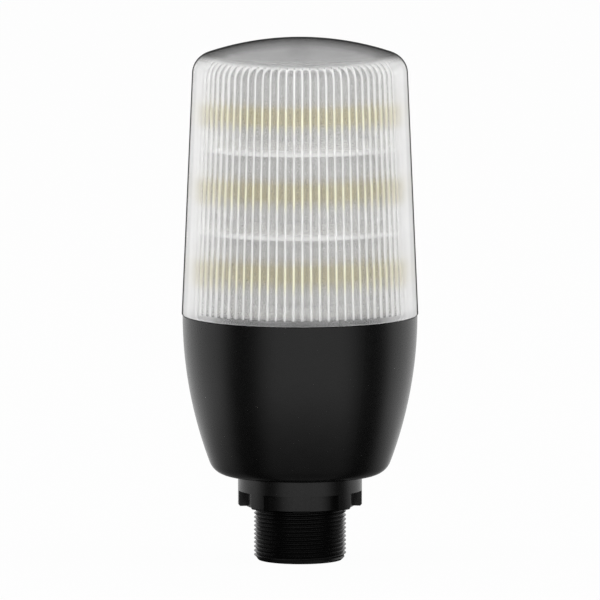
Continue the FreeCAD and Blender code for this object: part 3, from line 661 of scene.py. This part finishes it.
def ramp(nodes, links, source, start, end, first, last):
    """Soft change from a first value at the start to a last one at the end."""
    return map_range(nodes, links, source, (start, end, first, last), "SMOOTHSTEP")


def spread(nodes, links, source, low_value, high_value):
    """Maps a noise value between two numbers."""
    return map_range(nodes, links, source, (*NOISE_RANGE, low_value, high_value), "LINEAR")


def object_place(nodes):
    """Place in the object's own frame, from one node that all of a material shares."""
    node = nodes.get("place") or add(nodes, "ShaderNodeTexCoord", name="place")
    return node.outputs["Object"]


def height_of(nodes, links):
    split = add(nodes, "ShaderNodeSeparateXYZ")
    links.new(object_place(nodes), split.inputs[0])
    return split.outputs["Z"]


def polar_place(nodes, links, place):
    """Distance of a place from the axis, and how squarely it lies to the lit front: 1 there and
    -1 behind."""
    split = add(nodes, "ShaderNodeSeparateXYZ")
    links.new(place, split.inputs[0])
    across, along = split.outputs["X"], split.outputs["Y"]
    square = math_node(nodes, links, "ADD", product(nodes, links, across, across),
                       product(nodes, links, along, along))
    reach = math_node(nodes, links, "SQRT", square)
    ahead = math_node(nodes, links, "ADD",
                      product(nodes, links, across, math.sin(LIT_FRONT)),
                      product(nodes, links, along, -math.cos(LIT_FRONT)))
    return reach, math_node(nodes, links, "DIVIDE", ahead, reach)


def noise(nodes, links, scale, detail):
    texture = add(nodes, "ShaderNodeTexNoise", Scale=scale, Detail=detail)
    links.new(object_place(nodes), texture.inputs["Vector"])
    return texture.outputs["Fac"]


def mask(nodes, name):
    """Value that the mesh carries at each point."""
    return add(nodes, "ShaderNodeAttribute", attribute_name=name).outputs["Fac"]


def mixed(nodes, links, share, first, second):
    """Colour between two, each given as numbers or by another node."""
    mix = add(nodes, "ShaderNodeMix", data_type="RGBA")
    feed(links, mix.inputs["Factor"], share)
    feed(links, mix.inputs["A"], first)
    feed(links, mix.inputs["B"], second)
    return mix.outputs["Result"]


def blended(nodes, links, share, first, second):
    """Shader between two."""
    mix = add(nodes, "ShaderNodeMixShader")
    for socket, value in zip(mix.inputs, (share, first, second)):
        links.new(value, socket)
    return mix.outputs[0]


def with_painted_led_glow(nodes, links, colour, glow_colour, share=None):
    """Colour with a painted glow of the LEDs, a soft yellowish band at the height of each LED
    row.
    """
    height = height_of(nodes, links)
    away = FAR_AWAY
    for row, reach in zip(LED_ROWS, GLOW_REACH):
        gap = math_node(nodes, links, "ABSOLUTE",
                        math_node(nodes, links, "SUBTRACT", height, row))
        away = math_node(nodes, links, "MINIMUM", away, product(nodes, links, gap, 1 / reach))
    band = ramp(nodes, links, away, *GLOW_FADE, 1.0, 0.0)
    if share is not None:
        band = product(nodes, links, band, share)
    return mixed(nodes, links, band, colour, glow_colour)


# Plain finishes

def surface(name, dark, light, roughness, grain, grain_depth, metallic, level, glow_colour=None):
    """Solid finish: mottled colour, uneven roughness and a fine grain, and, given a glow colour,
    a painted glow of the LEDs.
    """
    material, nodes, links = new_material(name)
    shader = add(nodes, "ShaderNodeBsdfPrincipled", Metallic=metallic)
    shader.inputs["Specular IOR Level"].default_value = level
    output = add(nodes, "ShaderNodeOutputMaterial")
    broad = spread(nodes, links, noise(nodes, links, MOTTLE, BROAD_DETAIL), 0.0, 1.0)
    fine = noise(nodes, links, grain, FINE_DETAIL)
    colour = mixed(nodes, links, broad, dark, light)
    if glow_colour:
        colour = with_painted_led_glow(nodes, links, colour, glow_colour)
    bump = add(nodes, "ShaderNodeBump", Strength=1.0, Distance=grain_depth)
    links.new(fine, bump.inputs["Height"])
    links.new(colour, shader.inputs["Base Color"])
    links.new(spread(nodes, links, fine, *roughness), shader.inputs["Roughness"])
    links.new(bump.outputs["Normal"], shader.inputs["Normal"])
    links.new(shader.outputs[0], output.inputs["Surface"])
    return material


# Lens

def fluted_normal(nodes, links, amount):
    """Normal tilted to and fro round the axis, finer than the eye sees: it spreads light
    sideways only, as the fine flutes of a signal lens do."""
    shape = add(nodes, "ShaderNodeNewGeometry")
    grain = add(nodes, "ShaderNodeTexWhiteNoise", noise_dimensions="3D")
    links.new(vector_node(nodes, links, "SCALE", shape.outputs["Position"], scale=SPREAD_GRAIN),
              grain.inputs["Vector"])
    tilt = math_node(nodes, links, "SUBTRACT", grain.outputs["Value"], 0.5)
    tilt = product(nodes, links, tilt, 2.0, amount)
    round_axis = vector_node(nodes, links, "CROSS_PRODUCT", (0, 0, 1), shape.outputs["Position"])
    round_axis = vector_node(nodes, links, "NORMALIZE", round_axis)
    shift = vector_node(nodes, links, "SCALE", round_axis, scale=tilt)
    tilted = vector_node(nodes, links, "ADD", shape.outputs["Normal"], shift)
    return vector_node(nodes, links, "NORMALIZE", tilted)


def lens_glass(nodes, links, flutes, frosted, behind):
    """The clear body. Its flutes spread light sideways and carry painted shade, darkest on those
    of the far wall, and its dome is softly frosted inside."""
    glass = add(nodes, "ShaderNodeBsdfPrincipled", IOR=LENS_IOR)
    glass.inputs["Transmission Weight"].default_value = 1.0
    wave = noise(nodes, links, WAVE_SCALE, FINE_DETAIL)
    wave = spread(nodes, links, wave, *WAVE_ROUGHNESS)
    rough = math_node(nodes, links, "ADD", product(nodes, links, flutes, FLUTE_FROST),
                      product(nodes, links, frosted, DOME_FROST))
    links.new(math_node(nodes, links, "ADD", wave, rough), glass.inputs["Roughness"])
    tilt = product(nodes, links, flutes, FLUTE_SPREAD)
    links.new(fluted_normal(nodes, links, tilt), glass.inputs["Normal"])
    tint = mixed(nodes, links, behind, grey(BACK_SHADED_CLEAR), grey(FLUTE_SHADED_CLEAR))
    tint = mixed(nodes, links, flutes, grey(LENS_CLEAR), tint)
    links.new(tint, glass.inputs["Base Color"])
    return glass.outputs[0]


def painted_light_matte(nodes, links, plain, glow_colour, share=None):
    """Painted light: a milk-white matte that stands in for light the clear lens refracts, with a
    painted LED glow beside the LED rows.
    """
    matte = add(nodes, "ShaderNodeBsdfDiffuse")
    links.new(with_painted_led_glow(nodes, links, plain, glow_colour, share), matte.inputs["Color"])
    return matte.outputs[0]


def painted_rim_glow(nodes, links, facing):
    """Share of a painted glow, a pale line on the lens along each tray's rim. It fades upwards,
    ends sharply below and leaves a faint trail there."""
    height = height_of(nodes, links)
    glow = 0.0
    for floor in TRAY_FLOORS:
        level = math_node(nodes, links, "SUBTRACT", height, floor)
        line = product(nodes, links,
                       ramp(nodes, links, level, *STEP_TOP, 1.0, 0.0),
                       ramp(nodes, links, level, *STEP_TAIL, 0.0, 1.0),
                       ramp(nodes, links, level, *STEP_EDGE, STEP_TRAIL, 1.0))
        glow = most(nodes, links, glow, line)
    return product(nodes, links, glow, ramp(nodes, links, facing, *STEP_FACING, *STEP_SHARES))


def lens_shade(nodes, links, facing, reach, crown):
    """Share of painted shade at the outline, along the wall's edge inside it, round the shoulder,
    in the dome and just above the seam."""
    shoulder = ramp(nodes, links, facing, *CROWN_FACING, 0.0, EDGE_SHADE)
    foot = ramp(nodes, links, height_of(nodes, links), *FOOT_HEIGHT, FOOT_SHADE, 0.0)
    return most(nodes, links,
                ramp(nodes, links, facing, *EDGE_FACING, 0.0, EDGE_SHADE),
                ramp(nodes, links, facing, *WALL_FACING, 0.0, WALL_SHADE),
                product(nodes, links, shoulder, crown),
                ramp(nodes, links, reach, *SHADE_REACH, DOME_SHADE, 0.0),
                product(nodes, links, foot,
                        ramp(nodes, links, facing, *FOOT_FACING, 1.0, FOOT_SIDES)))


def lens_material():
    """Clear polycarbonate that spreads light sideways, with painted light, a milk-white matte, in
    its flutes, ribs and sides, and painted shade at its outline. Lamps light what stands in it."""
    material, nodes, links = new_material("lens_clear")
    output = add(nodes, "ShaderNodeOutputMaterial")
    inside, rib = mask(nodes, "inside"), mask(nodes, "rib")
    facing = add(nodes, "ShaderNodeLayerWeight", Blend=0.5).outputs["Facing"]
    behind = add(nodes, "ShaderNodeNewGeometry").outputs["Backfacing"]
    reach, _ = polar_place(nodes, links, object_place(nodes))
    in_dome = ramp(nodes, links, reach, *FROST_REACH, 1.0, 0.0)
    crown = ramp(nodes, links, reach, *CROWN_REACH, 1.0, 0.0)
    flutes = product(nodes, links, inside, rest_of(nodes, links, rib),
                     rest_of(nodes, links, in_dome))
    outside = product(nodes, links, rest_of(nodes, links, inside),
                      rest_of(nodes, links, behind))

    # Painted light on the flutes where they are seen from within the wall, with the painted glow
    # along the trays' rims
    inner_painted_light = most(nodes, links, ramp(nodes, links, facing, *FLUTE_FACING, 0.0, FLUTE_SHARE),
                 painted_rim_glow(nodes, links, facing))
    # Painted light on the outer face towards the sides
    outer_painted_light = product(nodes, links, ramp(nodes, links, facing, *SIDE_FACING, 0.0, SIDE_SHARE),
                   outside, rest_of(nodes, links, crown))
    near_rows = ramp(nodes, links, facing, *ROW_FACING, 1.0, 0.0)
    shade = product(nodes, links, lens_shade(nodes, links, facing, reach, crown), outside)
    dark = add(nodes, "ShaderNodeBsdfDiffuse", Color=(*grey(SHADE_COLOUR), 1))
    # Layers of painted light on the flutes, ribs and sides, then of painted shade
    layers = (
        (product(nodes, links, inner_painted_light, flutes, behind), painted_light_matte(nodes, links, *FLUTE_PAINTED_LIGHT)),
        (product(nodes, links, rib, RIB_SHARE), painted_light_matte(nodes, links, *RIB_PAINTED_HIGHLIGHT)),
        (outer_painted_light, painted_light_matte(nodes, links, *SIDE_PAINTED_LIGHT, near_rows)),
        (shade, dark.outputs[0]),
    )
    frosted = product(nodes, links, inside, in_dome)
    solid = lens_glass(nodes, links, flutes, frosted, behind)
    for share, layer in layers:
        solid = blended(nodes, links, share, solid, layer)

    clear = add(nodes, "ShaderNodeBsdfTransparent", Color=(*grey(SHADOW_CLEAR), 1))
    path = add(nodes, "ShaderNodeLightPath")
    links.new(blended(nodes, links, path.outputs["Is Shadow Ray"], solid, clear.outputs[0]),
              output.inputs["Surface"])
    return material


# The LED board gets a painted glow of the LEDs beside each row
MATERIALS = {
    name: surface(name, *finish, glow_colour=BOARD_LED_GLOW if name == "led_board_white" else None)
    for name, finish in FINISHES.items()
}
MATERIALS["lens_clear"] = lens_material()


# Pieces that replace solids

def dress(piece, body, slot, *nodes):
    """Gives a piece its finish, the body that it rides on, its slot and the nodes it replaces."""
    piece.data.materials.clear()
    piece.data.materials.append(MATERIALS[slot])
    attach(piece, body)
    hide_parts(*nodes)


dress(make_lens(), "lens", "lens_clear", "lens")
dress(make_housing(), "base", "housing_black", "housing")

# Solids that stay get their finish
slot_of = {part["node"]: part["material_slot"] for part in frame["record"]["subparts"]}
for node, item in frame["nodes"].items():
    item.data.materials.clear()
    item.data.materials.append(MATERIALS[slot_of[node]])


# Floor, light and camera

FILL = 0.46
WHITE = (1, 1, 1, 1)

# Floor: half its width, its matte colour and how much of it shows white
FLOOR_SPAN = 12.0
FLOOR_MATTE = 0.85
FLOOR_WHITE = 0.97

# Reflected studio: how dark the painted shadow on the floor near the object and the flags are,
# and where each fades
NEAR_PAINTED_SHADOW = 0.12
NEAR_REACH = (0.02, 0.14)
FLAG_GREY = 0.05
FRONT_AHEAD = (0.5, 0.88)
SIDES_AHEAD = (-0.15, 0.3)

# Name, place, width, height and power of each lamp
LAMPS = (
    ("front_light", (-0.3, -1.6, 0.16), 1.0, 0.7, 7.5),
    ("left_light", (-1.6, -0.2, 0.4), 0.7, 0.8, 8.2),
    ("right_light", (1.6, -0.2, 0.4), 0.7, 0.8, 9.2),
    ("top_light", (0.0, 0.2, 1.8), 1.2, 1.2, 2.3),
)
LAMP_AIM = Vector((0, 0, 0.04))

# Camera: the photograph's view, through a long lens
AZIMUTH = math.radians(-1.25)
ELEVATION = math.radians(6.5)
DISTANCE = 3.0
CAMERA_AIM = Vector((0, 0, 0.0417))
SEEN_WIDTH = 0.14298


def ray_kinds(nodes, links):
    """1 for a ray that shows the background, straight or through glass, and 1 for a mirrored
    ray."""
    path = add(nodes, "ShaderNodeLightPath")
    background = most(nodes, links, path.outputs["Is Camera Ray"],
                      path.outputs["Is Transmission Ray"])
    return background, path.outputs["Is Glossy Ray"]


def reflected_studio(nodes, links, ahead):
    """Strength of the white studio in a reflection: a lit front between two grey flags, and open
    sides and back."""
    return most(nodes, links, ramp(nodes, links, ahead, *FRONT_AHEAD, FLAG_GREY, 1.0),
                ramp(nodes, links, ahead, *SIDES_AHEAD, 1.0, FLAG_GREY))


def seen_strength(nodes, links, mirrored, lit):
    """1 but for a mirrored ray, which sees the lit strength."""
    loss = product(nodes, links, mirrored, rest_of(nodes, links, lit))
    return rest_of(nodes, links, loss)


def make_floor():
    bm = bmesh.new()
    bmesh.ops.create_grid(bm, x_segments=1, y_segments=1, size=FLOOR_SPAN)
    for vert in bm.verts:
        vert.co.z = FLOOR
    mesh = bpy.data.meshes.new("studio_floor")
    bm.to_mesh(mesh)
    bm.free()
    floor = bpy.data.objects.new("studio_floor", mesh)
    bpy.context.collection.objects.link(floor)
    material, nodes, links = new_material("studio_floor")
    output = add(nodes, "ShaderNodeOutputMaterial")
    matte = add(nodes, "ShaderNodeBsdfDiffuse", Color=(*grey(FLOOR_MATTE), 1))
    white = add(nodes, "ShaderNodeEmission", Color=WHITE)
    background, mirrored = ray_kinds(nodes, links)
    reach, ahead = polar_place(nodes, links, object_place(nodes))
    # Mirrored rays see a painted shadow on the floor near the object
    lit = product(nodes, links, ramp(nodes, links, reach, *NEAR_REACH, NEAR_PAINTED_SHADOW, 1.0),
                  reflected_studio(nodes, links, ahead))
    links.new(seen_strength(nodes, links, mirrored, lit), white.inputs["Strength"])
    share = product(nodes, links, most(nodes, links, background, mirrored), FLOOR_WHITE)
    links.new(blended(nodes, links, share, matte.outputs[0], white.outputs[0]),
              output.inputs["Surface"])
    material.cycles.emission_sampling = "NONE"
    mesh.materials.append(material)


def make_world():
    world = bpy.data.worlds.new("studio")
    bpy.context.scene.world = world
    world.use_nodes = True
    nodes, links = world.node_tree.nodes, world.node_tree.links
    nodes.clear()
    output = add(nodes, "ShaderNodeOutputWorld")
    fill = add(nodes, "ShaderNodeBackground", Color=WHITE, Strength=FILL)
    white = add(nodes, "ShaderNodeBackground", Color=WHITE)
    direction = add(nodes, "ShaderNodeTexCoord").outputs["Generated"]
    background, mirrored = ray_kinds(nodes, links)
    _, ahead = polar_place(nodes, links, direction)
    lit = reflected_studio(nodes, links, ahead)
    links.new(seen_strength(nodes, links, mirrored, lit), white.inputs["Strength"])
    seen = most(nodes, links, background, mirrored)
    links.new(blended(nodes, links, seen, fill.outputs[0], white.outputs[0]),
              output.inputs["Surface"])


def make_lamp(name, place, width, height, power):
    """Soft lamp that mirrors don't show."""
    lamp = bpy.data.lights.new(name, "AREA")
    lamp.shape = "RECTANGLE"
    lamp.size = width
    lamp.size_y = height
    lamp.energy = power
    item = bpy.data.objects.new(name, lamp)
    bpy.context.collection.objects.link(item)
    item.location = place
    item.visible_glossy = False
    item.rotation_euler = (LAMP_AIM - Vector(place)).to_track_quat("-Z", "Y").to_euler()


def make_camera():
    camera = bpy.data.cameras.new("camera")
    camera.lens = camera.sensor_width * DISTANCE / SEEN_WIDTH
    item = bpy.data.objects.new("camera", camera)
    bpy.context.collection.objects.link(item)
    away = Vector((math.sin(AZIMUTH) * math.cos(ELEVATION),
                   -math.cos(AZIMUTH) * math.cos(ELEVATION), math.sin(ELEVATION)))
    item.location = CAMERA_AIM + away * DISTANCE
    item.rotation_euler = (-away).to_track_quat("-Z", "Y").to_euler()
    bpy.context.scene.camera = item


make_floor()
make_world()
for lamp_values in LAMPS:
    make_lamp(*lamp_values)
make_camera()
bpy.context.scene.view_settings.view_transform = "Standard"
